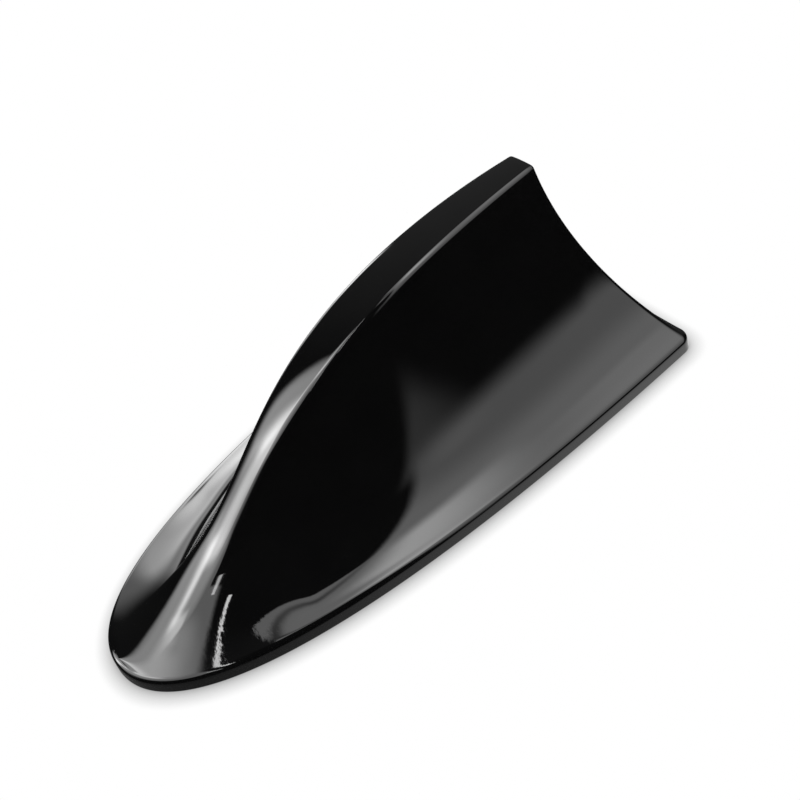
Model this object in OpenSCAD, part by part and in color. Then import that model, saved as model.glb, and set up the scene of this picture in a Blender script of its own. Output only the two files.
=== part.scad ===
/* [Fin cover] */
// Length of the cover along the roof, nose to tail
fin_length = 165; // [156:1:176]
// Width of the cover across its tail corners
tail_width = 74; // [70:1:80]
// How full the nose is, as the reach of its first outline handle
nose_full = 26; // [22:1:30]
// Distance from the nose to the outline's shoulder handle
shoulder_at = 55; // [45:1:65]
// Width of the cover at the shoulder handle
shoulder_width = 78; // [72:1:84]
// Height of the crest at its tip, without the crown of the strip
crest_height = 56; // [50:1:62]
// How far the tip of the crest stands forward of the tail
tip_setback = 18; // [14:1:24]
// Rise of the crown across the crest strip
strip_crown = 0.2; // [0.1:0.05:0.6]
// Rounding of the two creases beside the crest strip
crease_round = 1.1; // [0.7:0.1:1.5]
// Plan radius of the tail corners at the roof
corner_radius = 4; // [3:0.5:6]
// Rounding of the tip's edges
tip_round = 0.6; // [0.4:0.1:0.8]
// Bow of the tail edge in plan
tail_bow = 1; // [0:0.5:3]
// Wall thickness of the cover
wall = 2.2; // [1.8:0.1:2.6]

/* [Rim] */
// Height of the rim band at its upper edge
rim_height = 4.3; // [3.8:0.1:5]
// Rounding of the rim's upper edge
rim_round = 1.3; // [0.8:0.1:1.6]
// How far the rim band leans in over its height
rim_lean = 0.5; // [0:0.1:0.8]
// Distance from the outline to the pocket for the base plate
pocket_inset = 5.6; // [5:0.2:7]
// Height of the ceiling at the edge of that pocket
pocket_height = 3.1; // [2.9:0.1:3.4]

/* [Rim seal and base] */
// Distance from the outline to the groove of the rim seal
groove_inset = 1.9; // [1.7:0.1:2.3]
// Width of that groove
groove_width = 2.2; // [1.6:0.1:2.4]
// Depth of that groove
groove_depth = 2; // [1.4:0.1:2.4]
// Thickness of the foam tape that sticks the aerial to the roof
tape_thick = 1.1; // [0.8:0.1:1.2]
// Thickness of the base plate
plate_thick = 1.8; // [1.5:0.1:1.9]
// Fit of the base plate in its pocket, each side
plate_fit = 0.2; // [0.1:0.05:0.4]

/* [Screws] */
// Shank diameter of the self-tapping screws that hold the base plate
cover_screw = 2; // [1.8:0.1:2.4]
// Length of those screws under the head's face
cover_screw_length = 4.8; // [4:0.1:5]
// Outer diameter of the cover's screw bosses
boss_diameter = 5.6; // [4.8:0.2:6.4]
// Shank diameter of the board screws
board_screw = 1.8; // [1.6:0.1:2]

/* [Boards] */
// Front edge of the amplifier board, as a share of the cover's length from the nose
board_front = 0.35; // [0.33:0.01:0.37]
// Distance from the rear edge of the amplifier board to the tail
board_tail_gap = 25; // [24:1:30]
// Width of the amplifier board
board_width = 26; // [24:1:28]
// Thickness of the amplifier board
board_thick = 1.6; // [1:0.1:1.6]
// Height of the posts that carry the amplifier board
post_height = 2.8; // [2.4:0.1:3.4]
// Front edge of the upright aerial board, as a share of the cover's length
mast_front = 0.56; // [0.55:0.01:0.57]
// Distance from the rear edge of the aerial board to that of the amplifier board
mast_margin = 4; // [3:0.5:6]
// Thickness of the upright aerial board
mast_thick = 1; // [0.8:0.1:1.2]
// Thickness of the ground plate under the amplifier board
ground_thick = 0.5; // [0.3:0.1:0.8]

/* [Aerial element] */
// Outer diameter of the coil
coil_diameter = 8.4; // [7.6:0.2:9]
// Wire diameter of the coil
coil_wire = 0.8; // [0.6:0.1:1]
// Turns of the coil
coil_turns = 9; // [6:1:10]
// Height of the coil's axis above the roof
coil_height = 27; // [24:1:30]
// Half width of the capacity plate that rides on the aerial board
cap_half = 2.2; // [2:0.1:2.4]
// Depth of the capacity plate's flanges
cap_drop = 7; // [5:0.5:9]
// Thickness of the capacity plate
cap_thick = 0.5; // [0.3:0.1:0.6]
// Thickness of the foam strip between capacity plate and cover
foam_thick = 0.9; // [0.7:0.1:1.2]

/* [Lead outlet] */
// Bore of the rubber gland for the aerial lead
lead_bore = 3.2; // [2.8:0.1:3.6]
// Place of the gland, as a share of the cover's length from the nose
gland_share = 0.29; // [0.28:0.01:0.3]
// Diameter of the gland's flanges
gland_flange = 10; // [9:0.5:11]

/* [Hidden] */

// Middle of the whole length, which lies at X = 0
mid_length = (fin_length + tail_bow) / 2;
// Stations of the inner pieces, from the nose
board_from = board_front * fin_length;
board_length = fin_length - board_tail_gap - board_from;
mast_from = mast_front * fin_length;
mast_length = board_from + board_length - mast_margin - mast_from;
gland_at = gland_share * fin_length;
// Outline of the cover on the roof: half of it, as [distance from the nose, half width]
outline_curve = [
    [0, 0],
    [0, nose_full],
    [shoulder_at, shoulder_width / 2],
    [fin_length, tail_width / 2],
];
// Side view of the creases, as [distance from the nose, height]
crest_curve = [
    [0, rim_height],
    [0.212 * fin_length, rim_height + 0.075 * crest_height],
    [0.321 * fin_length, 0.357 * crest_height],
    [0.321 * fin_length, 1.09 * crest_height],
    [fin_length - tip_setback, crest_height],
];
// Half width of the crest strip at the same five handles
strip_handles = [7.4, 6.2, -2.1, 10.7, 4];
// Shape of a side wall at nose and tail: share of its reach and of its drop at each handle
wall_front = [[0, 0], [0.185, 0.52], [0.59, 0.953], [1, 1]];
wall_rear = [[0, 0], [0.177, 0.44], [0.423, 0.95], [1, 1]];
// Same for the tail face, seen from the side
tail_handles = [0, 0.13, 0.95, 1];
// Where the plain nose turns into the ridge, from the nose
ridge_from = 3;
ridge_full = 45;
// How gently the plain nose bends over its middle line: near 0 is an edge, 3 a parabola
nose_bend = 0.55;

function bezier(p, t) = len(p) == 1 ? p[0]
    : bezier([for (i = [0:len(p) - 2]) (1 - t) * p[i] + t * p[i + 1]], t);
function slope(p, t) = (len(p) - 1)
    * bezier([for (i = [0:len(p) - 2]) p[i + 1] - p[i]], t);
function mix(a, b, t) = (1 - t) * a + t * b;
function ease(t) = let (u = min(1, max(0, t))) u * u * (3 - 2 * u);

// Point of the outline moved inwards by inset, at t from 0 (nose) to 1 (tail)
function rim_point(t, inset) = let (
    p = bezier(outline_curve, t),
    d = slope(outline_curve, t),
    n = [d[1], -d[0]] / norm(d)
) p + inset * n;

// Tables that give a curve's value at a distance from the nose
steps = 240;
function rim_table(inset) = [for (i = [0:steps]) rim_point(i / steps, inset)];
crest_table = [for (i = [0:steps]) bezier(crest_curve, i / steps)];
strip_table = [for (i = [0:steps]) [
    bezier(crest_curve, i / steps)[0],
    bezier(strip_handles, i / steps),
]];

// A skin of the cover is [inset of the wall's foot, height of the foot, wall taken off,
// columns across the strip, round the crease and down the wall, rows on the side and corner]
outer_skin = [rim_lean + rim_round, rim_height, 0, 3, 4, 11, 44, 5];
cavity_skin = [pocket_inset, pocket_height, wall, 1, 1, 6, 20, 3];
function edge_col(skin) = skin[3] + skin[4];
function foot_col(skin) = edge_col(skin) + skin[5];
function last_row(skin) = skin[6] + skin[7];

// Upper edge and band of the rim, as [inset, height] from the wall's foot down to the roof
rim_edge = [
    [rim_lean + rim_round, rim_height],
    [rim_lean, rim_height - 0.15 * rim_round],
    [rim_lean * (1 - 1.2 * rim_round / rim_height), rim_height - 1.2 * rim_round],
];
outer_rim = concat([for (i = [1:3]) bezier(rim_edge, i / 3)], [[0, 0]]);
cavity_rim = [[pocket_inset, -1]];

// Height of the plain nose, as a share, at a share of the half width
function dome(share) = (norm([1, nose_bend]) - norm([share, nose_bend]))
    / (norm([1, nose_bend]) - nose_bend);

// Half section at station s: [y, z] from the middle of the crest to the wall's foot
function section(s, skin, table) = let (
    half = max(0.01, lookup(s, table)),
    top = max(skin[1] + 0.05, lookup(s, crest_table) - skin[2]),
    full = min(lookup(s, strip_table), 0.6 * half),
    strip = max(0.35 * full, full - skin[2]),
    r = min(crease_round, 0.45 * strip),
    reach = half - strip,
    drop = top - skin[1],
    sharp = ease((s - ridge_from) / (ridge_full - ridge_from)),
    handles = mix(wall_front, wall_rear, s / fin_length),
    side = [for (h = handles) [strip + h[0] * reach, top - h[1] * drop]],
    first = r / (3 * norm(side[1] - side[0]) + r),
    edge = [strip - r, top + strip_crown * (1 - pow(1 - r / strip, 2))],
    ridge = concat(
        [for (i = [0:skin[3]]) let (y = (strip - r) * i / skin[3])
            [y, top + strip_crown * (1 - pow(y / strip, 2))]],
        [for (i = [1:skin[4]])
            bezier([edge, [strip, top], bezier(side, first)], i / skin[4])],
        [for (i = [1:skin[5]]) bezier(side, mix(first, 1, i / skin[5]))]
    )
) [for (p = ridge) [
    p[0],
    mix(skin[1] + (drop + strip_crown) * dome(p[0] / half), p[1], sharp),
]];

// Station at which column j of a skin meets the tail face, and its corner radius there
function tail_station(j, skin) = mix(
    fin_length - tip_setback - skin[2],
    fin_length - skin[0],
    bezier(tail_handles, max(0, j - edge_col(skin)) / skin[5])
);
function tail_radius(j, skin) = mix(
    tip_round,
    inner_radius(skin[0]),
    pow(max(0, j - edge_col(skin)) / skin[5], 3)
);

// Corner radius of an inset outline, and the t at which that corner starts
function inner_radius(inset) = max(0.6, corner_radius - inset);
function last_t(inset) = 1 - (inset + inner_radius(inset)) / norm(slope(outline_curve, 1));
// Share of the way along the side for each row, even along the outline
function row_share(k, inset, rows) = let (
    from = rim_point(0, inset)[0],
    to = rim_point(last_t(inset), inset)[0]
) (rim_point(last_t(inset) * k / rows, inset)[0] - from) / (to - from);

// Point of the skin at row k and column j, as [station, y, z]
function skin_point(k, j, skin, table) = let (
    end = tail_station(j, skin),
    r = tail_radius(j, skin),
    turn = 90 * max(0, k - skin[6]) / skin[7],
    s = k <= skin[6]
        ? mix(skin[0], end - r, row_share(k, skin[0], skin[6]))
        : end - r * (1 - sin(turn)),
    p = section(s, skin, table)[j],
    back = r * (1 - cos(turn)),
    lean = 90 * min(1, max(0, j - skin[3]) / skin[4])
) [s, p[0] - back * sin(lean), p[1] - back * cos(lean)];

// Point of the rim at row k, for one [inset, height] of its profile
function band_point(k, edge, skin, table) = let (
    r = inner_radius(edge[0]),
    turn = 90 * (k - skin[6]) / skin[7],
    s = fin_length - edge[0] - r * (1 - sin(turn)),
    p = rim_point(last_t(edge[0]) * k / skin[6], edge[0])
) k <= skin[6] ? [p[0], p[1], edge[1]]
    : [s, lookup(s, table) - r * (1 - cos(turn)), edge[1]];

function skin_grid(skin, rim) = let (
    table = rim_table(skin[0]),
    rim_tables = [for (e = rim) rim_table(e[0])]
) [for (k = [0:last_row(skin)]) concat(
    [for (j = [0:foot_col(skin)]) skin_point(k, j, skin, table)],
    [for (i = [0:len(rim) - 1]) band_point(k, rim[i], skin, rim_tables[i])]
)];

// Turns [station, y, z] into the part's frame: nose at +X, middle of the length at X = 0
function place(p, side) = [mid_length - p[0], side * p[1], p[2]];

// Closed solid under one skin, mirrored about the middle, with its tail face and flat base
module fin_body(skin, rim) {
    grid = skin_grid(skin, rim);
    edge = edge_col(skin);
    foot = foot_col(skin);
    last = last_row(skin);
    cols = foot + len(rim);
    size = (last + 1) * (cols + 1);
    // Corner numbers: near half, then far half, which shares the middle line and the nose
    function near(k, j) = k == 0 && j <= foot ? 0 : k * (cols + 1) + j;
    function far(k, j) = j == 0 || k == 0 ? near(k, j) : size + near(k, j);
    across = 2 * edge;
    edge_y = grid[last][edge][1];
    foot_y = grid[last][cols][1];
    share = [for (i = [0:across])
        (i < edge ? 1 : -1) * grid[last][abs(edge - i)][1] / edge_y];
    tail = [for (j = [edge + 1:cols]) let (p = grid[last][j])
        for (i = [1:across - 1]) [
            p[0] + tail_bow * pow(p[1] / foot_y, 2) * pow(1 - pow(share[i], 2), 2),
            p[1] * share[i],
            p[2],
        ]];
    function mid(j, i) = i == 0 ? near(last, j) : i == across ? far(last, j)
        : j == edge
            ? (i <= edge ? near(last, edge - i) : far(last, i - edge))
            : 2 * size + (j - edge - 1) * (across - 1) + i - 1;
    points = concat(
        [for (row = grid) for (p = row) place(p, 1)],
        [for (row = grid) for (p = row) place(p, -1)],
        [for (p = tail) place(p, 1)]
    );
    faces = concat(
        [for (k = [0:last - 1]) for (j = [0:cols - 1]) if (k > 0 || j >= foot)
            [near(k, j), near(k + 1, j), near(k + 1, j + 1), near(k, j + 1)]],
        [for (j = [0:foot - 1]) [near(0, 0), near(1, j), near(1, j + 1)]],
        [for (k = [0:last - 1]) for (j = [0:cols - 1]) if (k > 0 || j >= foot)
            [far(k, j), far(k, j + 1), far(k + 1, j + 1), far(k + 1, j)]],
        [for (j = [0:foot - 1]) [far(0, 0), far(1, j + 1), far(1, j)]],
        [for (j = [edge:cols - 1]) for (i = [0:across - 1])
            [mid(j, i), mid(j, i + 1), mid(j + 1, i + 1), mid(j + 1, i)]],
        [for (k = [0:last - 1]) k == 0
            ? [near(0, cols), near(1, cols), far(1, cols)]
            : [near(k, cols), near(k + 1, cols), far(k + 1, cols), far(k, cols)]],
        [[for (i = [0:across]) mid(cols, i)]]
    );
    polyhedron(points, faces, convexity = 6);
}

// Heights of the stack above the roof
plate_top = tape_thick + plate_thick;
board_bottom = plate_top + post_height;
board_top = board_bottom + board_thick;
fit = 0.1;
slip = 0.3;

// Screw bosses of the cover, as [distance from the nose, y]: one at the nose, two pairs
boss_stations = [0.22, 0.47, 0.8];
boss_margins = [16, 12];
boss_places = concat(
    [[boss_stations[0] * fin_length, 0]],
    [for (i = [0, 1]) for (side = [1, -1]) let (s = boss_stations[i + 1] * fin_length)
        [s, side * (lookup(s, rim_table(0)) - boss_margins[i])]]
);
// Posts of the amplifier board: a pair behind its connectors, a pair at its rear corners
connector_depth = 6;
post_inset = 3.5;
part_gap = 0.5;
post_front = board_from + connector_depth + part_gap + board_screw;
post_places = [for (s = [post_front, board_from + board_length - post_inset])
    for (side = [1, -1]) [s, side * (board_width / 2 - post_inset)]];
pilot_depth = cover_screw_length - plate_thick + 0.3;
post_diameter = 4.6;

module at(p, z = 0) translate([mid_length - p[0], p[1], z]) children();
module span(from, to, y, z) translate([mid_length - to, y[0], z[0]])
    cube([to - from, y[1] - y[0], z[1] - z[0]]);

// Outline of the cover moved inwards, as a closed polygon
function plan_half(inset) = let (
    r = inner_radius(inset),
    table = rim_table(inset),
    rows = cavity_skin[6],
    turns = cavity_skin[7]
) concat(
    [for (k = [0:rows]) rim_point(last_t(inset) * k / rows, inset)],
    [for (i = [1:turns]) let (a = 90 * i / turns, s = fin_length - inset - r * (1 - sin(a)))
        [s, lookup(s, table) - r * (1 - cos(a))]]
);
module plan(inset, from, to) {
    half = plan_half(inset);
    n = len(half) - 1;
    translate([0, 0, from]) linear_extrude(to - from) polygon(concat(
        [for (p = half) [mid_length - p[0], p[1]]],
        [for (i = [n:-1:1]) [mid_length - half[i][0], -half[i][1]]]
    ));
}

// Gloss black shell: groove for the seal, pocket for the plate, screw bosses and mast guides
module fin_cover() color([0.03, 0.03, 0.035]) difference() {
    fin_body(outer_skin, outer_rim);
    difference() {
        fin_body(cavity_skin, cavity_rim);
        for (p = boss_places) at(p, plate_top)
            cylinder(d = boss_diameter, h = crest_height, $fn = 32);
        for (side = [1, -1]) mast_guide(side);
    }
    difference() {
        plan(groove_inset, -1, groove_depth);
        plan(groove_inset + groove_width, -2, groove_depth + 1);
    }
    for (p = boss_places) at(p, plate_top - 1)
        cylinder(d = cover_screw + fit, h = pilot_depth + 1, $fn = 24);
}
// Ribs from the tail wall that hold the rear edge of the aerial board between them
guide_lap = 2;
guide_thick = 1;
guide_gap = mast_thick / 2 + fit;
guide_heights = [0.32, 0.75] * crest_height;
module mast_guide(side) span(
    mast_from + mast_length - guide_lap, fin_length,
    side > 0 ? [guide_gap, guide_gap + guide_thick] : [-guide_gap - guide_thick, -guide_gap],
    guide_heights
);

// Rubber ring in the groove of the rim
module rim_seal() color([0.09, 0.09, 0.09]) difference() {
    plan(groove_inset + fit, 0, groove_depth);
    plan(groove_inset + groove_width - fit, -1, groove_depth + 1);
}

head_diameter = 2 * cover_screw;
head_height = 1.1;
gland_waist = gland_flange - 2.6;
tape_hole = gland_flange + 2;
rib_height = 1.4;
rib_thick = 1.2;
rib_stations = [0.56, 0.63, 0.7];
rib_margin = 2;

// Moulded base: posts for the board, stiffening ribs, countersunk holes, hole for the gland
module base_plate() color([0.13, 0.13, 0.14]) difference() {
    union() {
        plan(pocket_inset + plate_fit, tape_thick, plate_top);
        for (p = post_places) at(p, plate_top - 0.5)
            cylinder(d = post_diameter, h = post_height + 0.5, $fn = 32);
        for (share = rib_stations) for (side = [1, -1]) base_rib(share * fin_length, side);
    }
    for (p = post_places) at(p, plate_top)
        cylinder(d = board_screw + fit, h = post_height + 1, $fn = 24);
    for (p = boss_places) at(p, tape_thick) {
        translate([0, 0, -1]) cylinder(d = cover_screw + 2 * slip, h = plate_thick + 2, $fn = 32);
        rotate_extrude($fn = 32) polygon([
            [0, -0.01], [head_diameter / 2 + fit, -0.01],
            [cover_screw / 2 + slip, head_height], [0, head_height],
        ]);
    }
    at([gland_at, 0], 0) cylinder(d = gland_waist, h = plate_top + 1, $fn = 48);
}
module base_rib(s, side) {
    from = board_width / 2 + rib_margin;
    to = lookup(s, rim_table(pocket_inset)) - 2 * rib_margin;
    span(s, s + rib_thick, side > 0 ? [from, to] : [-to, -from],
        [plate_top - 0.5, plate_top + rib_height]);
}

// Double-sided foam tape on the underside of the base
module adhesive_tape() color([0.35, 0.35, 0.36]) difference() {
    plan(pocket_inset + 2 * plate_fit, 0, tape_thick);
    at([gland_at, 0], -1) cylinder(d = tape_hole, h = tape_thick + 2, $fn = 48);
}

// Countersunk screws from below through the base into the cover's bosses
point_length = 0.8;
point_radius = 0.25;
cross_length = 1.8;
cross_width = 0.4;
cross_depth = 0.6;
module cover_screws() color([0.55, 0.56, 0.58]) for (p = boss_places) at(p, tape_thick)
    difference() {
        rotate_extrude($fn = 32) polygon([
            [0, 0], [head_diameter / 2, 0], [cover_screw / 2, head_height],
            [cover_screw / 2, cover_screw_length - point_length],
            [point_radius, cover_screw_length], [0, cover_screw_length],
        ]);
        for (a = [0, 90]) rotate(a) translate([-cross_length / 2, -cross_width / 2, -cross_depth])
            cube([cross_length, cross_width, 2 * cross_depth]);
    }

// Rubber gland that seals the lead's way through the base
gland_neck = 6;
gland_lip = 1;
gland_wall = 1;
module cable_gland() color([0.07, 0.07, 0.07]) at([gland_at, 0]) rotate_extrude($fn = 48)
    polygon([
        [lead_bore / 2, fit], [gland_flange / 2, fit], [gland_flange / 2, tape_thick],
        [gland_waist / 2, tape_thick], [gland_waist / 2, plate_top],
        [gland_flange / 2, plate_top], [gland_flange / 2, plate_top + gland_lip],
        [lead_bore / 2 + 1.6 * gland_wall, plate_top + 1.4 * gland_lip],
        [lead_bore / 2 + gland_wall, plate_top + gland_lip + gland_neck],
        [lead_bore / 2, plate_top + gland_lip + gland_neck],
    ]);

// Tinned sheet under the amplifier board that couples to the roof
module ground_plate() color([0.72, 0.72, 0.7]) difference() {
    span(board_from + 1, board_from + board_length - 1,
        [-board_width / 2 - 1, board_width / 2 + 1], [plate_top, plate_top + ground_thick]);
    for (p = post_places) at(p, 0) cylinder(d = post_diameter + 2 * slip, h = board_top, $fn = 32);
}

// Tabs of the aerial board pass through slots of the amplifier board
tab_length = 5;
tab_places = [mast_from + tab_length, mast_from + mast_length - tab_length - 7];

module main_board() color([0.05, 0.27, 0.14]) difference() {
    span(board_from, board_from + board_length,
        [-board_width / 2, board_width / 2], [board_bottom, board_top]);
    for (p = post_places) at(p, 0) cylinder(d = board_screw + 2 * slip, h = board_top + 1, $fn = 24);
    for (s = tab_places) span(s - fit, s + tab_length + fit,
        [-mast_thick / 2 - fit, mast_thick / 2 + fit], [board_bottom - 1, board_top + 1]);
}

// Pan-head screws that hold the amplifier board on its posts
pan_height = 1.2;
screw_tip_gap = 0.3;
module board_screws() color([0.75, 0.7, 0.45]) for (p = post_places) at(p, board_top)
    difference() {
        union() {
            cylinder(d = 2 * board_screw, h = pan_height, $fn = 32);
            translate([0, 0, screw_tip_gap - board_thick - post_height])
                cylinder(d = board_screw, h = board_thick + post_height, $fn = 24);
        }
        for (a = [0, 90]) rotate(a)
            translate([-cross_length / 2, -cross_width / 2, pan_height - cross_depth])
                cube([cross_length, cross_width, 2 * cross_depth]);
    }

// Folded screening can over the amplifier
can_from = post_front + board_screw + 2 * part_gap;
can_length = 16;
can_half = 8.5;
can_height = 4.4;
sheet = 0.3;
vent_diameter = 1.2;
vent_pitch = 4;
module shield_can() color([0.78, 0.78, 0.76]) difference() {
    span(can_from, can_from + can_length,
        [-can_half, can_half], [board_top, board_top + can_height]);
    span(can_from + sheet, can_from + can_length - sheet, [-can_half + sheet, can_half - sheet],
        [board_top - 1, board_top + can_height - sheet]);
    for (i = [1:3]) for (j = [-1:1])
        at([can_from + vent_pitch * i, vent_pitch * j], board_top + can_height / 2)
            cylinder(d = vent_diameter, h = can_height, $fn = 20);
}

// Amplifier chip with its two rows of legs
chip_at = can_from + 6;
chip_length = 4.9;
chip_half = 1.95;
chip_height = 1.6;
leg_pitch = 1.27;
leg_width = 0.4;
leg_reach = 3;
module amplifier_chip() color([0.06, 0.06, 0.06]) {
    span(chip_at, chip_at + chip_length,
        [-chip_half, chip_half], [board_top + leg_width / 2, board_top + chip_height]);
    first_leg = chip_at + (chip_length - 3 * leg_pitch - leg_width) / 2;
    for (i = [0:3]) for (side = [1, -1]) span(
        first_leg + leg_pitch * i, first_leg + leg_pitch * i + leg_width,
        side > 0 ? [chip_half - fit, leg_reach] : [-leg_reach, fit - chip_half],
        [board_top, board_top + leg_width]);
}

// Small ceramic capacitors in rows beside the chip and behind the can
capacitor_size = [2, 1.2, 0.9];
capacitor_rows = concat(
    [for (i = [0:3]) for (side = [1, -1]) [can_from + (1 + 1.8 * i) * capacitor_size[0],
        side * 5 * capacitor_size[1]]],
    [for (i = [0:4]) [mast_from + (1.5 + 3 * i) * capacitor_size[0], 3.4 * capacitor_size[1]]]
);
module chip_capacitors() color([0.62, 0.5, 0.36]) for (p = capacitor_rows)
    span(p[0], p[0] + capacitor_size[0],
        [p[1] - capacitor_size[1] / 2, p[1] + capacitor_size[1] / 2],
        [board_top, board_top + capacitor_size[2]]);

// Electrolytic capacitors with a crimped waist
can_radius = 2.5;
can_top = 6.4;
crimp = 0.25;
side_row = board_width / 3;
cap_setback = 8;
module electrolytic_caps() color([0.7, 0.71, 0.73]) for (side = [1, -1])
    at([mast_from + cap_setback, side * side_row], board_top) rotate_extrude($fn = 32) polygon([
        [0, 0], [can_radius, 0], [can_radius, 1.2], [can_radius - crimp, 1.2 + crimp],
        [can_radius, 1.2 + 2 * crimp], [can_radius, can_top - crimp],
        [can_radius - crimp, can_top], [0, can_top],
    ]);

// Drum core of the supply choke and the wire wound on it
choke_setback = 20;
choke_at = [mast_from + choke_setback, side_row];
drum_radius = 3.2;
drum_neck = 1.5;
drum_cheek = 0.8;
drum_height = 4.2;
wound_gap = 0.05;
module choke_core() color([0.2, 0.2, 0.22]) at(choke_at, board_top) rotate_extrude($fn = 32)
    polygon([
        [0, 0], [drum_radius, 0], [drum_radius, drum_cheek], [drum_neck, drum_cheek],
        [drum_neck, drum_height - drum_cheek], [drum_radius, drum_height - drum_cheek],
        [drum_radius, drum_height], [0, drum_height],
    ]);
module choke_winding() color([0.72, 0.38, 0.16]) at(choke_at, board_top) rotate_extrude($fn = 32)
    polygon([
        [drum_neck + wound_gap, drum_cheek + wound_gap],
        [drum_radius - 0.5, drum_cheek + wound_gap],
        [drum_radius - 0.5, drum_height - drum_cheek - wound_gap],
        [drum_neck + wound_gap, drum_height - drum_cheek - wound_gap],
    ]);

// Board jack for the aerial lead: square body, barrel towards the gland
jack_y = 4.2;
jack_axis = 3;
jack_barrel = 4;
jack_bore = 3;
jack_depth = 3;
barrel_reach = 4.5;
pin_diameter = 0.8;
module lead_jack() color([0.8, 0.66, 0.3]) difference() {
    union() {
        span(board_from, board_from + connector_depth,
            [jack_y - jack_axis, jack_y + jack_axis], [board_top, board_top + 2 * jack_axis]);
        at([board_from + 0.5, jack_y], board_top + jack_axis) rotate([0, 90, 0])
            cylinder(d = jack_barrel, h = 0.5 + barrel_reach, $fn = 40);
    }
    at([board_from + jack_depth, jack_y], board_top + jack_axis) rotate([0, 90, 0])
        cylinder(d = jack_bore, h = jack_depth + barrel_reach + 1, $fn = 40);
}
module jack_pin() color([0.85, 0.72, 0.35])
    at([board_from + jack_depth, jack_y], board_top + jack_axis) rotate([0, 90, 0])
        cylinder(d = pin_diameter, h = jack_depth + barrel_reach - 1.5, $fn = 20);

// Two-way socket for the amplifier's supply
socket_y = -4.2;
socket_size = [connector_depth, 6.4, 5];
socket_wall = 0.8;
socket_depth = 4.5;
pin_pitch = 2.2;
pin_side = 0.5;
module power_socket() color([0.9, 0.88, 0.8]) difference() {
    span(board_from, board_from + socket_size[0],
        [socket_y - socket_size[1] / 2, socket_y + socket_size[1] / 2],
        [board_top, board_top + socket_size[2]]);
    span(board_from - 1, board_from + socket_depth,
        [socket_y - socket_size[1] / 2 + socket_wall, socket_y + socket_size[1] / 2 - socket_wall],
        [board_top + socket_wall, board_top + socket_size[2] - socket_wall]);
}
module power_pins() color([0.8, 0.78, 0.6]) for (y = [-0.5, 0.5] * pin_pitch)
    span(board_from + 1, board_from + socket_depth,
        [socket_y + y - pin_side / 2, socket_y + y + pin_side / 2],
        [board_top + (socket_size[2] - pin_side) / 2, board_top + (socket_size[2] + pin_side) / 2]);

// Height of the cover's ceiling under the crest, and the capacity plate's upper face
function ceiling(s) = lookup(s, crest_table) - wall;
function cap_top(s) = ceiling(s) - foam_thick - 0.1;
mast_steps = 6;
function mast_station(i) = mast_from + mast_length * i / mast_steps;
// Band between two heights that follow the crest, as a side-view outline
function crest_band(low, high) = concat(
    [for (i = [0:mast_steps]) [mid_length - mast_station(i), cap_top(mast_station(i)) + high]],
    [for (i = [mast_steps:-1:0]) [mid_length - mast_station(i), cap_top(mast_station(i)) + low]]
);
module side_plate(outline, y) translate([0, y[1], 0]) rotate([90, 0, 0])
    linear_extrude(y[1] - y[0]) polygon(outline);

window_margin = 7;
window_from = mast_from + window_margin;
window_length = mast_length - 2 * window_margin;
window_half = 6;
// Upright board: top edge follows the crest, window for the coil, two tabs below
module aerial_board() color([0.06, 0.3, 0.16]) difference() {
    union() {
        side_plate(concat(
            [for (i = [0:mast_steps])
                [mid_length - mast_station(i), cap_top(mast_station(i)) - cap_thick]],
            [[mid_length - mast_from - mast_length, board_top],
                [mid_length - mast_from, board_top]]
        ), [-mast_thick / 2, mast_thick / 2]);
        for (s = tab_places) span(s, s + tab_length, [-mast_thick / 2, mast_thick / 2],
            [board_bottom, board_top + 1]);
    }
    span(window_from, window_from + window_length, [-mast_thick, mast_thick],
        [coil_height - window_half, coil_height + window_half]);
}

// Sprung clip on the amplifier board that grips the foot of the aerial board
clip_at = mast_from + mast_length / 2;
clip_width = 4;
clip_height = 4.8;
clip_sheet = 0.3;
module feed_clip() color([0.78, 0.6, 0.3]) for (side = [1, -1]) scale([1, side, 1])
    translate([mid_length - clip_at, mast_thick / 2, board_top]) rotate([90, 0, 90])
        linear_extrude(clip_width) polygon([
            [1.6, 0], [1.6, clip_sheet], [2 * clip_sheet, clip_sheet],
            [clip_sheet, clip_height - 1.2], [3 * clip_sheet, clip_height - 0.2],
            [2 * clip_sheet, clip_height], [0, clip_height - 1.2], [clip_sheet, 0],
        ]);

// Plastic rod that carries the coil in the window, slotted at each end for the board's edge
former_lap = 2;
flange_thick = 1.2;
flange_rise = 0.4;
former_diameter = coil_diameter - 2 * coil_wire - slip;
module coil_former() color([0.88, 0.87, 0.82]) difference() {
    translate([mid_length - window_from - window_length - former_lap, 0, coil_height])
        rotate([0, 90, 0]) {
            cylinder(d = former_diameter, h = window_length + 2 * former_lap, $fn = 40);
            for (x = [former_lap, window_length + former_lap - flange_thick]) translate([0, 0, x])
                cylinder(d = coil_diameter + 2 * flange_rise, h = flange_thick, $fn = 40);
        }
    for (s = [window_from - former_lap - 1, window_from + window_length - fit])
        span(s, s + former_lap + 1 + fit, [-mast_thick / 2 - fit, mast_thick / 2 + fit],
            [coil_height - former_diameter, coil_height + former_diameter]);
}

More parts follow.
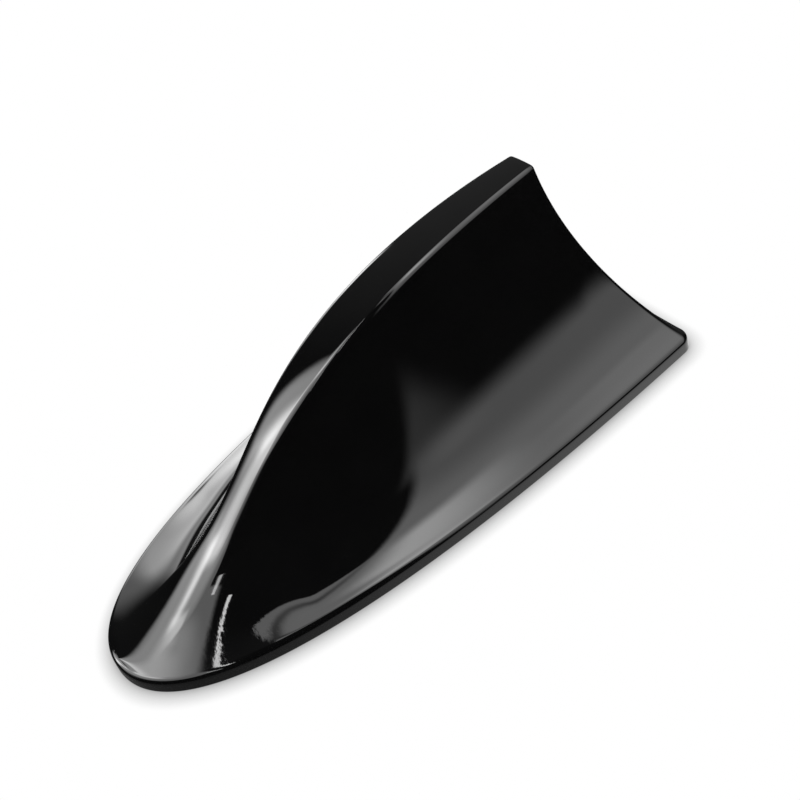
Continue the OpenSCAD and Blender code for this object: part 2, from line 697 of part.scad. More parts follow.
// Helical spring of copper wire, swept as one tube
coil_margin = 2 * flange_thick;
coil_from = window_from + coil_margin;
coil_pitch = (window_length - 2 * coil_margin - coil_wire) / coil_turns;
ring_sides = 6;
rings_per_turn = 14;
module aerial_coil() color([0.75, 0.42, 0.2]) {
    rings = coil_turns * rings_per_turn;
    radius = (coil_diameter - coil_wire) / 2;
    points = [for (k = [0:rings]) for (i = [0:ring_sides - 1]) let (
        turn = 360 * k / rings_per_turn,
        a = 360 * i / ring_sides,
        r = radius + coil_wire / 2 * cos(a)
    ) [
        mid_length - coil_from - coil_wire / 2 - coil_pitch * turn / 360 - coil_wire / 2 * sin(a),
        r * sin(turn),
        coil_height + r * cos(turn),
    ]];
    faces = concat(
        [for (k = [0:rings - 1]) for (i = [0:ring_sides - 1]) let (n = (i + 1) % ring_sides) [
            k * ring_sides + i, k * ring_sides + n,
            (k + 1) * ring_sides + n, (k + 1) * ring_sides + i,
        ]],
        [[for (i = [ring_sides - 1:-1:0]) i], [for (i = [0:ring_sides - 1]) rings * ring_sides + i]]
    );
    polyhedron(points, faces, convexity = 10);
}

// Folded sheet that rides on the aerial board's top edge
module capacity_plate() color([0.82, 0.8, 0.74]) {
    side_plate(crest_band(-cap_thick, 0), [-cap_half, cap_half]);
    for (side = [1, -1]) side_plate(crest_band(-cap_drop, 0),
        side > 0 ? [cap_half - cap_thick, cap_half] : [-cap_half, cap_thick - cap_half]);
}

// Foam strip between the capacity plate and the cover
foam_margin = 0.6;
module foam_strip() color([0.2, 0.2, 0.21])
    side_plate(crest_band(0, foam_thick), [foam_margin - cap_half, cap_half - foam_margin]);

fin_cover();
rim_seal();
base_plate();
adhesive_tape();
cover_screws();
cable_gland();
ground_plate();
main_board();
board_screws();
shield_can();
amplifier_chip();
chip_capacitors();
electrolytic_caps();
choke_core();
choke_winding();
lead_jack();
jack_pin();
power_socket();
power_pins();
aerial_board();
feed_clip();
coil_former();
aerial_coil();
capacity_plate();
foam_strip();
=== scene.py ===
"""Looks of a shark fin aerial: gloss black fin, rubber seal and base, seen from its nose."""

import math

import bmesh
import bpy
import numpy as np
from mathutils import Matrix, Vector


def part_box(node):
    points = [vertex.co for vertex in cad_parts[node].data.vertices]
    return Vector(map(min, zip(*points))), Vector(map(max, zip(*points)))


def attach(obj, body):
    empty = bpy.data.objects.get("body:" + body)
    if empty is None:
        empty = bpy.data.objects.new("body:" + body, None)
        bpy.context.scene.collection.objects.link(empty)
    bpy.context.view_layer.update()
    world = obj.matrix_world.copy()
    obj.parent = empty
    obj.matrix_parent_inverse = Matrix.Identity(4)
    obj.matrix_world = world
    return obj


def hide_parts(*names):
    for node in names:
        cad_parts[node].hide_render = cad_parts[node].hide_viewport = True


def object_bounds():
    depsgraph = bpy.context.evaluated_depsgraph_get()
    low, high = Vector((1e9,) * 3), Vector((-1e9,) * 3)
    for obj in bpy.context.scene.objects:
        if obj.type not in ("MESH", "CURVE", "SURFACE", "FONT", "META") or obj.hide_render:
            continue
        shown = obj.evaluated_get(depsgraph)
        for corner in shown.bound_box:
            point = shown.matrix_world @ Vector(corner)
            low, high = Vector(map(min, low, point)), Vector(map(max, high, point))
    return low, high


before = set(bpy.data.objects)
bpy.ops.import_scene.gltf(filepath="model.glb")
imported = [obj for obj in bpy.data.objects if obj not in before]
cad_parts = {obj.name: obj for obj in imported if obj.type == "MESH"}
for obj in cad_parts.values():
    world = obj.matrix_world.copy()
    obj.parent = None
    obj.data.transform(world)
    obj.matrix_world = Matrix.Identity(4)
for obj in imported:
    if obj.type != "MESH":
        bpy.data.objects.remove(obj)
cad_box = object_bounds()
MM = 0.001
PHOTO_SIDE = 800

# Camera: direction and distance of the photograph, seen from a point above the fin's middle
AIM = Vector((0.5, 0, 20)) * MM
VIEW_AZIMUTH = 66.345
VIEW_ELEVATION = 47.687
VIEW_DISTANCE = 248.34 * MM
VIEW_ROLL = -20.768
FOCAL_PIXELS = 993.03
OFFSET_PIXELS = (-43.34, 15.35)


def direction_at(azimuth, elevation):
    """Unit vector for angles in degrees. Azimuth 0 is the nose's side and 90 the near side."""
    a, e = math.radians(azimuth), math.radians(elevation)
    return Vector((math.cos(a) * math.cos(e), math.sin(a) * math.cos(e), math.sin(e)))


def add_camera():
    outward = direction_at(VIEW_AZIMUTH, VIEW_ELEVATION)
    data = bpy.data.cameras.new("camera")
    data.sensor_width = 36
    data.lens = data.sensor_width * FOCAL_PIXELS / PHOTO_SIDE
    data.shift_x = -OFFSET_PIXELS[0] / PHOTO_SIDE
    data.shift_y = OFFSET_PIXELS[1] / PHOTO_SIDE
    data.clip_start = 0.01
    camera = bpy.data.objects.new("camera", data)
    turn = outward.to_track_quat("Z", "Y").to_matrix() @ Matrix.Rotation(
        math.radians(VIEW_ROLL), 3, "Z")
    camera.matrix_world = Matrix.Translation(AIM + outward * VIEW_DISTANCE) @ turn.to_4x4()
    bpy.context.scene.collection.objects.link(camera)
    bpy.context.scene.camera = camera


add_camera()
bpy.context.scene.view_settings.view_transform = "Standard"


# Node building

# Parts of a noise texture's range over which a roughness changes
NOISE_RANGE = (0.3, 0.7)
MIXED_RANGE = (0.35, 0.65)


def add(tree, kind, inputs=None, **settings):
    """Adds a node, sets its properties, and links or fills its inputs by name or number."""
    node = tree.nodes.new(kind)
    for name, value in settings.items():
        setattr(node, name, value)
    for key, value in (inputs or {}).items():
        if isinstance(value, bpy.types.NodeSocket):
            tree.links.new(value, node.inputs[key])
        else:
            node.inputs[key].default_value = value
    return node


def math_node(tree, operation, *values, clamp=False):
    node = add(tree, "ShaderNodeMath", dict(enumerate(values)), operation=operation,
               use_clamp=clamp)
    return node.outputs[0]


def dot(tree, vector, axis):
    node = add(tree, "ShaderNodeVectorMath", {0: vector, 1: axis}, operation="DOT_PRODUCT")
    return node.outputs["Value"]


def fade(tree, value, start, stop, low=0.0, high=1.0):
    """Smooth change from low to high while value goes from start to stop."""
    node = add(tree, "ShaderNodeMapRange", {
        "Value": value, "From Min": start, "From Max": stop, "To Min": low, "To Max": high,
    }, interpolation_type="SMOOTHSTEP")
    return node.outputs["Result"]


def new_tree(holder):
    holder.use_nodes = True
    tree = holder.node_tree
    tree.nodes.clear()
    return tree


# Studio: soft panels far from the object, as parts of the world seen from the middle

class Panel:
    """A lit panel with straight sides between corners [azimuth, elevation, softness].

    Angles are in degrees. The softness belongs to the side that starts at its corner, and is the
    width over which the light fades there, in radians."""

    def __init__(self, strength, *corners):
        self.strength = strength
        places = [direction_at(*corner[:2]) for corner in corners]
        middle = sum(places, Vector())
        self.sides = []
        for place, following, corner in zip(places, places[1:] + places[:1], corners):
            inward = place.cross(following).normalized()
            if inward.dot(middle) < 0:
                inward = -inward
            self.sides.append((inward, corner[2] / 2))

    def light(self, tree, direction):
        total = self.strength
        for inward, soft in self.sides:
            lit = fade(tree, dot(tree, direction, inward), -soft, soft)
            total = math_node(tree, "MULTIPLY", lit, total)
        return total


PANELS = [
    # Over the near side: a broad panel, four that brighten it overhead and toward the tail, and a
    # low lobe
    Panel(1.5, (-82, 68, .05), (96, 73, .05), (94, 23, .26), (105, 7, .22), (126, 4, .2),
          (-153, 48, .08)),
    Panel(2.2, (-81.1, 78.8, .02), (-5, 85, .02), (96, 73, .05)),
    Panel(.9, (-82, 68, .05), (96, 73, .05), (94, 39, .5), (136, 29, .2),
          (-153, 48, .1)),
    Panel(4.5, (-116, 78, .12), (105, 70, .2), (117, 57, .25), (-141, 70, .2)),
    Panel(.6, (142, 60, .2), (155, 50, .2), (-162, 50, .2), (-151, 63, .2)),
    Panel(.5, (94, 23, .05), (96, 11, .06), (99, -3, .08), (102, -10, .15), (105, -6, .2),
          (107, 19, .2)),
    # Ahead: a broad panel, its brighter half, the edge beside it, and a tube of three parts, of
    # which the last is its bent head
    Panel(2.2, (-52, 72, .05), (-61.5, 50, .05), (-53.7, 26.5, .05), (-42, 5, .1),
          (-12, 22, .1), (17, 34, .1), (35, 33, .06), (44, 47.5, .04)),
    Panel(2.4, (-46, 12, .06), (-54, 70, .15), (5, 62, .6), (-22, 11, .1)),
    Panel(2.6, (-64, 63, .1), (-55.3, 34, .06), (-52.5, 26, .08), (-43, 7, .08), (-42, 66, .15)),
    Panel(8, (-44, 20, .1), (-46, 33, .06), (-47, 54, .1), (-40, 54, .06), (-41, 33, .06),
          (-39, 20, .1)),
    Panel(7, (-41.5, 10, .08), (-43.5, 22, .08), (-43, 29, .15), (-38, 30, .1), (-35.5, 24, .08),
          (-37.5, 10, .1)),
    Panel(6, (-47, 49, .1), (-40, 63, .1), (-20, 62, .1), (-26, 56, .1), (-39, 49, .1)),
    # Two thin strips: a long one overhead and a short one lower down
    Panel(13, (-56.5, 74.8, .01), (-54.5, 74.2, .01), (43.3, 59.5, .01), (45.8, 60, .01)),
    Panel(9, (35.8, 54.1, .008), (34.4, 53.6, .008), (48.5, 36.2, .008), (49.8, 36.6, .008)),
    # Over the far side: three panels, each smaller and brighter than the one before
    Panel(1.3, (-104, 33, .1), (-75.5, 33, .1), (-78, -9, .1), (-104, -11, .1)),
    Panel(2.5, (-104, 38, .12), (-93, 33, .12), (-79, 20, .1), (-79, 14, .15), (-84, 3, .15),
          (-104, -6, .1)),
    Panel(5.5, (-104, 33, .1), (-92, 33, .14), (-92, 15, .2), (-96, 5, .2), (-104, 5, .1)),
]
# The room around the panels is dark, and lighter on the far side, behind the fin and above the
# floor. Each pair is the range of a direction's Y, X or Z over which that changes
ROOM_DARK = 0.02
ROOM_LIGHT = 0.2
ROOM_FAR = (0.1, -0.3)
ROOM_BEHIND = (0.5, -0.5)
ROOM_ABOVE = (-0.1, 0.1)


def light_world():
    world = bpy.data.worlds.new("studio")
    bpy.context.scene.world = world
    tree = new_tree(world)
    direction = add(tree, "ShaderNodeTexCoord").outputs["Generated"]
    parts = add(tree, "ShaderNodeSeparateXYZ", {0: direction})
    far = fade(tree, parts.outputs["Y"], *ROOM_FAR)
    behind = fade(tree, parts.outputs["X"], *ROOM_BEHIND)
    above = fade(tree, parts.outputs["Z"], *ROOM_ABOVE)
    room = math_node(tree, "MULTIPLY", math_node(tree, "MULTIPLY", far, behind), above)
    total = math_node(tree, "MULTIPLY_ADD", room, ROOM_LIGHT - ROOM_DARK, ROOM_DARK)
    for panel in PANELS:
        total = math_node(tree, "ADD", total, panel.light(tree, direction))
    studio = add(tree, "ShaderNodeBackground", {"Color": (1, 1, 1, 1), "Strength": total})
    white = add(tree, "ShaderNodeBackground", {"Color": (1, 1, 1, 1), "Strength": 1.0})
    seen = add(tree, "ShaderNodeLightPath").outputs["Is Camera Ray"]
    mixed = add(tree, "ShaderNodeMixShader", {0: seen, 1: studio.outputs[0], 2: white.outputs[0]})
    add(tree, "ShaderNodeOutputWorld", {"Surface": mixed.outputs[0]})


light_world()


# The cover's surface, as in the part's source: half sections along the fin, in millimetres

cover_low, cover_high = (Vector(corner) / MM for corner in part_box("fin_cover"))
TAIL_BOW = 1.0
STRIP_CROWN = 0.2
FIN_LENGTH = cover_high.x - cover_low.x - TAIL_BOW
CREST_HEIGHT = 56.0
NOSE_FULL = 26.0
SHOULDER_AT = 55.0
SHOULDER_WIDTH = 78.0
TAIL_WIDTH = 74.0
TIP_SETBACK = 18.0
CREASE_ROUND = 1.1
CORNER_RADIUS = 4.0
TIP_ROUND = 0.6
WALL = 2.2
RIM_HEIGHT = 4.3
RIM_ROUND = 1.3
RIM_LEAN = 0.5
RIM_FOOT = 0.12
# The rounding's curve bends and ends at these shares of its size below the rim's top
ROUND_BEND = 0.15
ROUND_END = 1.2
POCKET_INSET = 5.6
POCKET_HEIGHT = 3.1
GROOVE_INSET = 1.9
GROOVE_WIDTH = 2.2
GROOVE_DEPTH = 2.0
STRIP_HANDLES = (7.4, 6.2, -2.1, 10.7, 4)
WALL_FRONT = ((0, 0), (0.185, 0.52), (0.59, 0.953), (1, 1))
WALL_REAR = ((0, 0), (0.177, 0.44), (0.423, 0.95), (1, 1))
TAIL_HANDLES = (0, 0.13, 0.95, 1)
RIDGE_FROM = 3.0
RIDGE_FULL = 45.0
NOSE_BEND = 0.55
OUTLINE_CURVE = [(0, 0), (0, NOSE_FULL), (SHOULDER_AT, SHOULDER_WIDTH / 2),
                 (FIN_LENGTH, TAIL_WIDTH / 2)]
CREST_CURVE = [(0, RIM_HEIGHT), (0.212 * FIN_LENGTH, RIM_HEIGHT + 0.075 * CREST_HEIGHT),
               (0.321 * FIN_LENGTH, 0.357 * CREST_HEIGHT),
               (0.321 * FIN_LENGTH, 1.09 * CREST_HEIGHT),
               (FIN_LENGTH - TIP_SETBACK, CREST_HEIGHT)]
SIDE_ROWS = 150
CORNER_ROWS = 8
STRIP_COLS = 16
CREASE_COLS = 10
WALL_COLS = 56
EDGE_COL = STRIP_COLS + CREASE_COLS
LAST_ROW = SIDE_ROWS + CORNER_ROWS
TABLE_STEPS = 3000
LEAST_RADIUS = 0.6
LEAST_WIDTH = 0.01
LEAST_DROP = 0.05
# The crest strip is at most this share of the half width. On the inner skin it keeps at least
# this share of its width, and the crease's radius is at most this share of the strip
STRIP_MOST = 0.6
STRIP_LEAST = 0.35
CREASE_MOST = 0.45


def bezier(points, t):
    """Point at t of a curve. Points and t are arrays that broadcast against each other."""
    points = [np.asarray(p, float) for p in points]
    while len(points) > 1:
        points = [(1 - t) * a + t * b for a, b in zip(points, points[1:])]
    return points[0]


def curve(points, t):
    """Bezier curve of [a, b] points at an array of t."""
    return np.stack([bezier([p[axis] for p in points], t) for axis in (0, 1)], -1)


def rim_point(t, inset):
    steps = [np.subtract(b, a) * 3 for a, b in zip(OUTLINE_CURVE, OUTLINE_CURVE[1:])]
    slope = curve(steps, t)
    inward = np.stack([slope[..., 1], -slope[..., 0]], -1)
    inward /= np.linalg.norm(slope, axis=-1)[..., None]
    return curve(OUTLINE_CURVE, t) + inset * inward


def rim_width(s, inset):
    points = rim_point(np.linspace(0, 1, TABLE_STEPS), inset)
    return np.interp(s, points[:, 0], points[:, 1])


def inner_radius(inset):
    return max(LEAST_RADIUS, CORNER_RADIUS - inset)


def last_t(inset):
    reach = 3 * math.hypot(FIN_LENGTH - SHOULDER_AT, (TAIL_WIDTH - SHOULDER_WIDTH) / 2)
    return 1 - (inset + inner_radius(inset)) / reach


def section(s, cols, inset, foot, taken):
    """Points y and z of the half sections at stations s, for column numbers cols."""
    steps = np.linspace(0, 1, TABLE_STEPS)
    crest = curve(CREST_CURVE, steps)
    half = np.maximum(LEAST_WIDTH, rim_width(s, inset))
    top = np.maximum(foot + LEAST_DROP, np.interp(s, crest[:, 0], crest[:, 1]) - taken)
    full = np.minimum(np.interp(s, crest[:, 0], bezier(STRIP_HANDLES, steps)),
                      STRIP_MOST * half)
    strip = np.maximum(STRIP_LEAST * full, full - taken)
    radius = np.minimum(CREASE_ROUND, CREASE_MOST * strip)
    reach, drop = half - strip, top - foot
    share = np.clip((s - RIDGE_FROM) / (RIDGE_FULL - RIDGE_FROM), 0, 1)
    sharp = share * share * (3 - 2 * share)
    rear = s / FIN_LENGTH
    side_y = [strip + (a[0] + (b[0] - a[0]) * rear) * reach for a, b in zip(WALL_FRONT, WALL_REAR)]
    side_z = [top - (a[1] + (b[1] - a[1]) * rear) * drop for a, b in zip(WALL_FRONT, WALL_REAR)]
    first = radius / (3 * np.hypot(side_y[1] - side_y[0], side_z[1] - side_z[0]) + radius)
    flat = (strip - radius) * np.clip(cols / STRIP_COLS, 0, 1)
    crown = top + STRIP_CROWN * (1 - (flat / strip) ** 2)
    edge_z = top + STRIP_CROWN * (1 - (1 - radius / strip) ** 2)
    bend = np.clip((cols - STRIP_COLS) / CREASE_COLS, 0, 1)
    crease_y = bezier([strip - radius, strip, bezier(side_y, first)], bend)
    crease_z = bezier([edge_z, top, bezier(side_z, first)], bend)
    down = first + (1 - first) * np.clip((cols - EDGE_COL) / WALL_COLS, 0, 1)
    y = np.where(cols <= STRIP_COLS, flat,
                 np.where(cols <= EDGE_COL, crease_y, bezier(side_y, down)))
    z = np.where(cols <= STRIP_COLS, crown,
                 np.where(cols <= EDGE_COL, crease_z, bezier(side_z, down)))
    edge_bend = math.hypot(1, NOSE_BEND)
    dome = (edge_bend - np.hypot(y / half, NOSE_BEND)) / (edge_bend - NOSE_BEND)
    dome = foot + (drop + STRIP_CROWN) * dome
    return y, dome + (z - dome) * sharp


def skin_grid(inset, foot, taken):
    """Grid of a skin, [row, column], of points (station, y, z) from the crest to the foot."""
    rows = np.arange(LAST_ROW + 1.0)[:, None]
    cols = np.arange(EDGE_COL + WALL_COLS + 1.0)[None, :]
    down = np.maximum(0, cols - EDGE_COL) / WALL_COLS
    tip, tail = FIN_LENGTH - TIP_SETBACK - taken, FIN_LENGTH - inset
    end = tip + (tail - tip) * bezier(TAIL_HANDLES, down)
    radius = TIP_ROUND + (inner_radius(inset) - TIP_ROUND) * down ** 3
    along = rim_point(np.minimum(rows, SIDE_ROWS) / SIDE_ROWS * last_t(inset), inset)[..., 0]
    share = (along - inset) / (along[-1] - inset)
    turn = np.radians(90) * np.maximum(0, rows - SIDE_ROWS) / CORNER_ROWS
    station = np.where(rows <= SIDE_ROWS, inset + (end - radius - inset) * share,
                       end - radius * (1 - np.sin(turn)))
    y, z = section(station, np.broadcast_to(cols, station.shape), inset, foot, taken)
    back = radius * (1 - np.cos(turn))
    lean = np.radians(90) * np.clip((cols - STRIP_COLS) / CREASE_COLS, 0, 1)
    return np.stack([station, y - back * np.sin(lean), z - back * np.cos(lean)], -1)


def band_column(inset, height):
    """One column of the rim or the underside, at a distance in from the outline."""
    rows = np.arange(LAST_ROW + 1.0)
    radius = inner_radius(inset)
    turn = np.radians(90) * (rows - SIDE_ROWS) / CORNER_ROWS
    side = rim_point(np.minimum(rows, SIDE_ROWS) / SIDE_ROWS * last_t(inset), inset)
    corner_s = FIN_LENGTH - inset - radius * (1 - np.sin(turn))
    corner_y = rim_width(corner_s, inset) - radius * (1 - np.cos(turn))
    s = np.where(rows <= SIDE_ROWS, side[:, 0], corner_s)
    y = np.where(rows <= SIDE_ROWS, side[:, 1], corner_y)
    return np.stack([s, y, np.full_like(s, height)], -1)[:, None]


def rim_profile():
    """[inset, height] down the rim, across the underside with its groove, to the pocket."""
    edge = [(RIM_LEAN + RIM_ROUND, RIM_HEIGHT),
            (RIM_LEAN, RIM_HEIGHT - ROUND_BEND * RIM_ROUND),
            (RIM_LEAN * (1 - ROUND_END * RIM_ROUND / RIM_HEIGHT),
             RIM_HEIGHT - ROUND_END * RIM_ROUND)]
    rounding = [tuple(p) for p in curve(edge, np.linspace(0, 1, 9)[1:])]
    last = edge[-1]
    band = [(last[0] * (1 - t), last[1] * (1 - t)) for t in (0.25, 0.5, 0.75, 0.95)]
    groove_end = GROOVE_INSET + GROOVE_WIDTH
    under = [(RIM_FOOT, 0), (GROOVE_INSET, 0), (GROOVE_INSET, GROOVE_DEPTH),
             (groove_end, GROOVE_DEPTH), (groove_end, 0), (POCKET_INSET, 0)]
    return rounding + band + under


# Floor: paper with an attribute that holds the distance out from the fin's outline

# In millimetres: distances of the rings of points from the outline, half the floor's size, the
# value under the fin's middle, and where the painted reflection, a pool of light, starts and ends
# to fade
FLOOR_RINGS = [0, 4, 8, 12, 16, 20, 24]
FLOOR_HALF = 3000.0
UNDER_MIDDLE = -30.0
PAINTED_POOL_FADE = (4.0, 8.0)
# Glow of the painted pool of light at the nose and at the tail, and where those lie along X
PAINTED_POOL_GLOW = (0.12, 1.1)
PAINTED_POOL_ENDS = (90 * MM, -80 * MM)
FLOOR_DROP = 0.02 * MM
PAPER = 0.8
# Painted contact shadow: reach, power and samples of the ambient occlusion that darkens the
# camera's white floor
PAINTED_SHADOW_REACH = 5 * MM
PAINTED_SHADOW_POWER = 1.5
PAINTED_SHADOW_SAMPLES = 16
SIDE_POINTS = 121
TAIL_POINTS = 12


def floor_mesh():
    """Rings of points around the outline, in millimetres, each at its distance out from it."""
    side = rim_point(np.linspace(0, 1, SIDE_POINTS), 0)
    tail = np.stack([np.full(TAIL_POINTS, FIN_LENGTH),
                     np.linspace(TAIL_WIDTH / 2, 0, TAIL_POINTS)], -1)
    half = np.concatenate([side, tail[1:]])
    ring = np.concatenate([half, half[-2:0:-1] * (1, -1)])
    along = np.roll(ring, -1, 0) - np.roll(ring, 1, 0)
    outward = np.stack([-along[:, 1], along[:, 0]], -1) / np.linalg.norm(along, axis=1)[:, None]
    outward[0] = (-1, 0)
    rings = [ring + d * outward for d in FLOOR_RINGS]
    middle = np.array([FIN_LENGTH / 2, 0])
    wide = rings[-1] - middle
    rings.append(middle + wide / np.linalg.norm(wide, axis=1)[:, None] * FLOOR_HALF)
    points = np.concatenate(rings + [middle[None]])
    count = len(ring)
    faces = []
    for r in range(len(rings) - 1):
        for i in range(count):
            j = (i + 1) % count
            faces.append((r * count + i, r * count + j, (r + 1) * count + j, (r + 1) * count + i))
    faces.extend((len(points) - 1, (i + 1) % count, i) for i in range(count))
    values = np.repeat(FLOOR_RINGS + [FLOOR_HALF], count).tolist() + [UNDER_MIDDLE]
    x = (FIN_LENGTH + TAIL_BOW) / 2 - points[:, 0]
    mesh = bpy.data.meshes.new("floor")
    mesh.from_pydata((np.stack([x, points[:, 1], x * 0], -1) * MM).tolist(), [], faces)
    mesh.attributes.new("distance_out", "FLOAT", "POINT").data.foreach_set("value", values)
    return mesh


def add_floor():
    """White to the camera with a painted contact shadow, paper to diffuse light.

    Glossy rays see a painted reflection: a pool of light that stays close to the fin.
    """
    mesh = floor_mesh()
    floor = bpy.data.objects.new("floor", mesh)
    bpy.context.scene.collection.objects.link(floor)
    floor.location.z = cad_box[0][2] - FLOOR_DROP
    material = bpy.data.materials.new("floor_paper")
    tree = new_tree(material)
    paper = add(tree, "ShaderNodeBsdfDiffuse", {"Color": (PAPER, PAPER, PAPER, 1)})
    # Painted contact shadow: ambient occlusion darkens the white that the camera sees near the fin
    near = add(tree, "ShaderNodeAmbientOcclusion", {"Distance": PAINTED_SHADOW_REACH},
               samples=PAINTED_SHADOW_SAMPLES)
    painted_contact_shadow = math_node(tree, "POWER", near.outputs["AO"], PAINTED_SHADOW_POWER)
    white = add(tree, "ShaderNodeEmission", {"Color": (1, 1, 1, 1), "Strength": painted_contact_shadow})
    # Painted reflection: to glossy rays the floor glows near the fin, more toward the tail, and is
    # clear further out
    place = add(tree, "ShaderNodeTexCoord").outputs["Object"]
    ahead = add(tree, "ShaderNodeSeparateXYZ", {0: place}).outputs["X"]
    lit = fade(tree, ahead, *PAINTED_POOL_ENDS, *PAINTED_POOL_GLOW)
    painted_pool_emission = add(tree, "ShaderNodeEmission", {"Color": (1, 1, 1, 1), "Strength": lit})
    clear = add(tree, "ShaderNodeBsdfTransparent")
    out = add(tree, "ShaderNodeAttribute", attribute_name="distance_out").outputs["Fac"]
    painted_pool_share = fade(tree, out, *PAINTED_POOL_FADE)
    painted_reflection = add(tree, "ShaderNodeMixShader", {0: painted_pool_share, 1: painted_pool_emission.outputs[0], 2: clear.outputs[0]})
    path = add(tree, "ShaderNodeLightPath")
    shown = math_node(tree, "MAXIMUM", path.outputs["Is Camera Ray"],
                      path.outputs["Is Transmission Ray"])
    seen = add(tree, "ShaderNodeMixShader", {0: shown, 1: paper.outputs[0], 2: white.outputs[0]})
    mixed = add(tree, "ShaderNodeMixShader", {
        0: path.outputs["Is Glossy Ray"], 1: seen.outputs[0], 2: painted_reflection.outputs[0]})
    add(tree, "ShaderNodeOutputMaterial", {"Surface": mixed.outputs[0]})
    mesh.materials.append(material)


add_floor()


def build_cover():
    """The cover as one closed mesh: outer skin, rim, underside, inner skin and tail face."""
    outer = skin_grid(RIM_LEAN + RIM_ROUND, RIM_HEIGHT, 0)
    bands = [band_column(*place) for place in rim_profile()]
    inner = skin_grid(POCKET_INSET, POCKET_HEIGHT, WALL)[:, ::-1]
    grid = np.concatenate([outer, *bands, inner], 1)
    # The near and the far half share their first row
    grid[0, :, 1] = 0
    cols = grid.shape[1]
    middle = (FIN_LENGTH + TAIL_BOW) / 2

    def placed(points, side):
        return np.stack([middle - points[..., 0], side * points[..., 1], points[..., 2]], -1)

    # Tail face: loops of points between the near and the far last row
    last = grid[-1]
    shares = [last[EDGE_COL - i, 1] / last[EDGE_COL, 1] for i in range(EDGE_COL + 1)]
    shares = np.array(shares + [-s for s in shares[-2::-1]])
    first, final = EDGE_COL, cols - 1 - EDGE_COL
    foot_y = last[outer.shape[1] - 1:-outer.shape[1], 1].max()
    tail = last[first:final + 1, None].repeat(len(shares), 1)
    bow = TAIL_BOW * np.minimum(1, tail[..., 1] / foot_y) ** 2 * (1 - shares ** 2) ** 2
    tail = np.stack([tail[..., 0] + bow, tail[..., 1] * shares, tail[..., 2]], -1)
    # Its first and last loop run along the tips of the outer and the inner skin
    for row, tip in ((0, last[EDGE_COL::-1]), (-1, last[final:])):
        tail[row, :EDGE_COL + 1] = tip
        tail[row, EDGE_COL:] = tip[::-1] * (1, -1, 1)

    vertices, faces = [], []

    def patch(points, flip):
        base = sum(len(v) for v in vertices)
        high, wide = points.shape[:2]
        vertices.append(points.reshape(-1, 3))
        index = base + np.arange(high * wide).reshape(high, wide)
        quads = np.stack([index[:-1, :-1], index[1:, :-1], index[1:, 1:], index[:-1, 1:]], -1)
        quads = quads.reshape(-1, 4)
        faces.extend((quads[:, ::-1] if flip else quads).tolist())

    patch(placed(grid, 1), False)
    patch(placed(grid, -1), True)
    patch(placed(tail, 1), False)
    mesh = bpy.data.meshes.new("fin_shell")
    mesh.from_pydata((np.concatenate(vertices) * MM).tolist(), [], faces)
    join_seams(mesh)
    cover = bpy.data.objects.new("fin_shell", mesh)
    bpy.context.scene.collection.objects.link(cover)
    return cover


SEAM_GAP = 0.021 * MM
SHARP_ANGLE = math.radians(32)


def join_seams(mesh):
    """Joins the two halves and the tail face, and shades all but the sharp edges smooth."""
    shell = bmesh.new()
    shell.from_mesh(mesh)
    bmesh.ops.remove_doubles(shell, verts=shell.verts, dist=SEAM_GAP)
    bmesh.ops.dissolve_degenerate(shell, edges=shell.edges, dist=SEAM_GAP / 4)
    bmesh.ops.recalc_face_normals(shell, faces=shell.faces)
    open_edges = sum(1 for edge in shell.edges if not edge.is_manifold)
    print("fin_shell faces", len(shell.faces), "open edges", open_edges)
    shell.to_mesh(mesh)
    shell.free()
    mesh.polygons.foreach_set("use_smooth", [True] * len(mesh.polygons))
    mesh.set_sharp_from_angle(angle=SHARP_ANGLE)


# Gloss black: clouds of tone and roughness, a faint ripple, and a patch beside the nose where the
# surface is uneven, fading in between two distances
CLOUD_SCALE = 90.0
PAINT_DARK = (0.001, 0.001, 0.0011)
PAINT_LIGHT = (0.0022, 0.0022, 0.0022)
PAINT_ROUGH = (0.02, 0.04)
RIPPLE_SCALE = 420.0
RIPPLE_BUMP = 0.02
BUMP_DEPTH = 0.1 * MM
RAGGED_AT = Vector((57, 19, 7)) * MM
RAGGED_EDGE = (12 * MM, 4 * MM)
RAGGED_SCALE = 650.0
RAGGED_BUMP = 0.12


def gloss_black():
    material = bpy.data.materials.new("gloss_black")
    tree = new_tree(material)
    place = add(tree, "ShaderNodeTexCoord").outputs["Object"]
    cloud = add(tree, "ShaderNodeTexNoise", {"Vector": place, "Scale": CLOUD_SCALE, "Detail": 4.0})
    colour = add(tree, "ShaderNodeMix", {
        0: cloud.outputs[0], 6: (*PAINT_DARK, 1), 7: (*PAINT_LIGHT, 1),
    }, data_type="RGBA")
    rough = fade(tree, cloud.outputs[0], *NOISE_RANGE, *PAINT_ROUGH)
    ripple = add(tree, "ShaderNodeTexNoise", {
        "Vector": place, "Scale": RIPPLE_SCALE, "Detail": 2.0})
    peel = add(tree, "ShaderNodeBump", {
        "Strength": RIPPLE_BUMP, "Distance": BUMP_DEPTH, "Height": ripple.outputs[0]})
    away = add(tree, "ShaderNodeVectorMath", {0: place, 1: RAGGED_AT}, operation="DISTANCE")
    patch = fade(tree, away.outputs["Value"], *RAGGED_EDGE, 0.0, RAGGED_BUMP)
    crumbs = add(tree, "ShaderNodeTexNoise", {
        "Vector": place, "Scale": RAGGED_SCALE, "Detail": 3.0})
    peel = add(tree, "ShaderNodeBump", {
        "Strength": patch, "Distance": BUMP_DEPTH, "Height": crumbs.outputs[0],
        "Normal": peel.outputs[0]})
    shader = add(tree, "ShaderNodeBsdfPrincipled", {
        "Base Color": colour.outputs[2], "Roughness": rough, "IOR": 1.5,
        "Normal": peel.outputs[0],
    })
    add(tree, "ShaderNodeOutputMaterial", {"Surface": shader.outputs[0]})
    return material


cover = build_cover()
cover.data.materials.append(gloss_black())
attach(cover, "root")
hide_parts("fin_cover")

